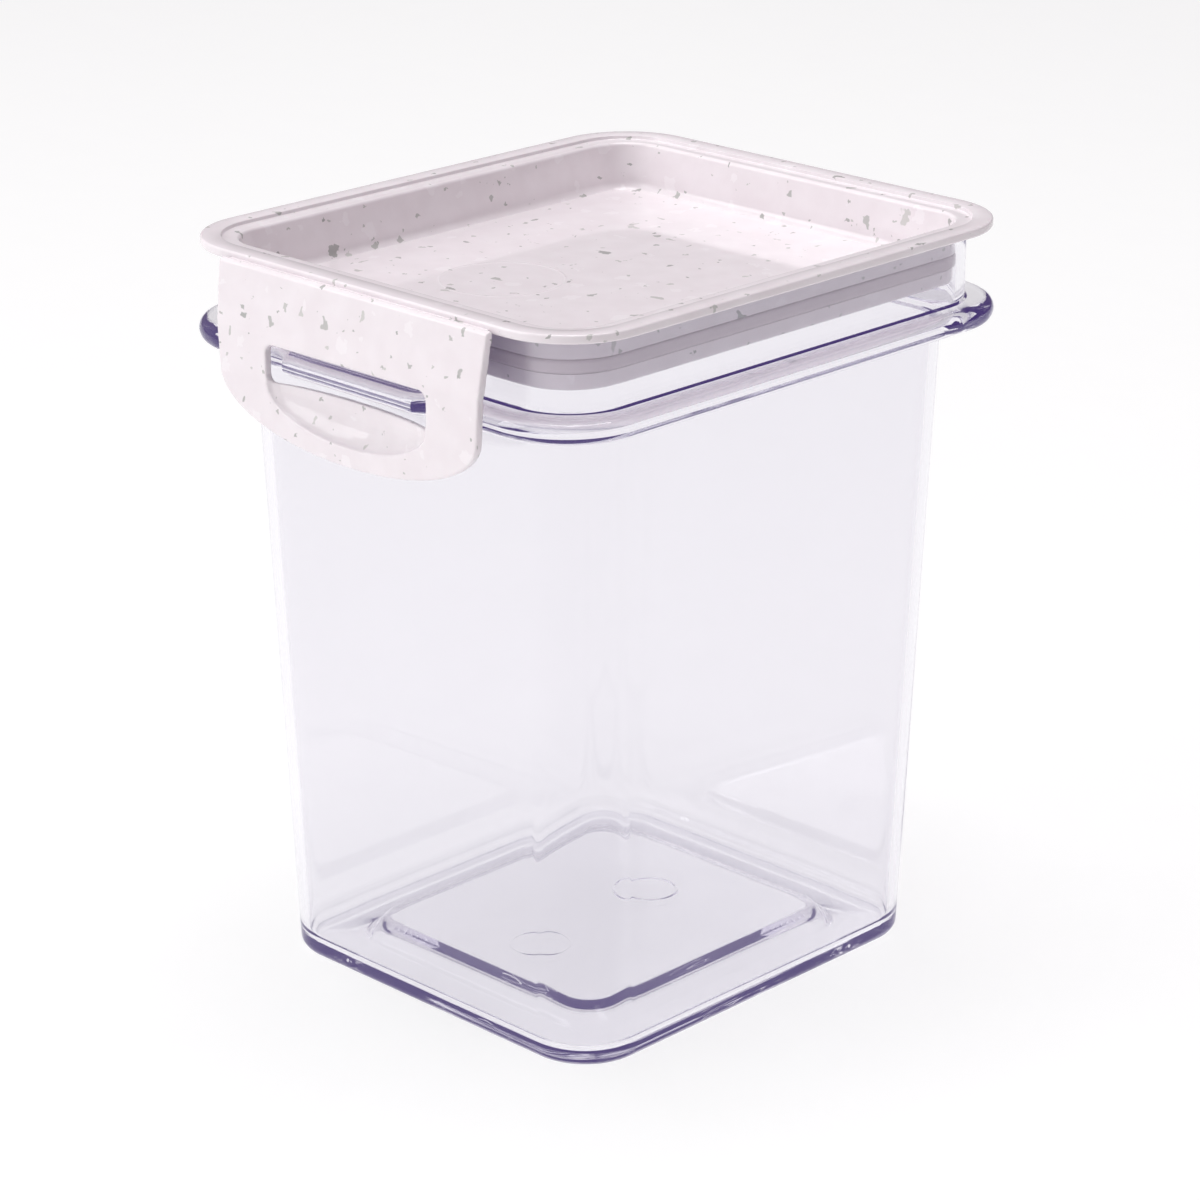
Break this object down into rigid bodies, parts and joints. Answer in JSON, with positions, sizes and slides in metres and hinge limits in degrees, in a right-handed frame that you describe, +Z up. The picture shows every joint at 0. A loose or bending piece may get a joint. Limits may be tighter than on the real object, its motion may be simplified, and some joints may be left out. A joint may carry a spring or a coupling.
{
  "type": "food canister",
  "caption": "Tall rectangular clear food canister with a press-in recessed speckled lid, a sealing ring and a hinged snap clip on one side.",
  "frame": {"origin": "centre of the bounding box in plan, on the plane the foot rests on", "axes": "+Z up, the clip on the -Y face, X along the clip's hinge line"},
  "size_m": [0.1178, 0.1398, 0.16],
  "materials": {
    "clear_plastic": "clear, glossy",
    "stone_plastic": "opaque, glossy, stone speckled",
    "seal_rubber": "satin silicone"
  },
  "bodies": {
    "container": {"container": "clear_plastic"},
    "lid": {"lid": "stone_plastic", "lid_seal": "seal_rubber"},
    "clip": {"clip": "stone_plastic"}
  },
  "joints": [
    {"name": "lid_lift", "type": "slide", "parent": "container", "child": "lid", "axis": [0, 0, 1], "range_m": [0, 0.02]},
    {"name": "clip_hinge", "type": "hinge", "parent": "lid", "child": "clip", "pos_m": [0, -0.0666, 0.1589], "axis": [-1, 0, 0], "range_deg": [0, 130]}
  ],
  "couplings": [
    {"joint": "clip_hinge", "follows": "lid_lift", "rad_per_m": 113.4}
  ]
}
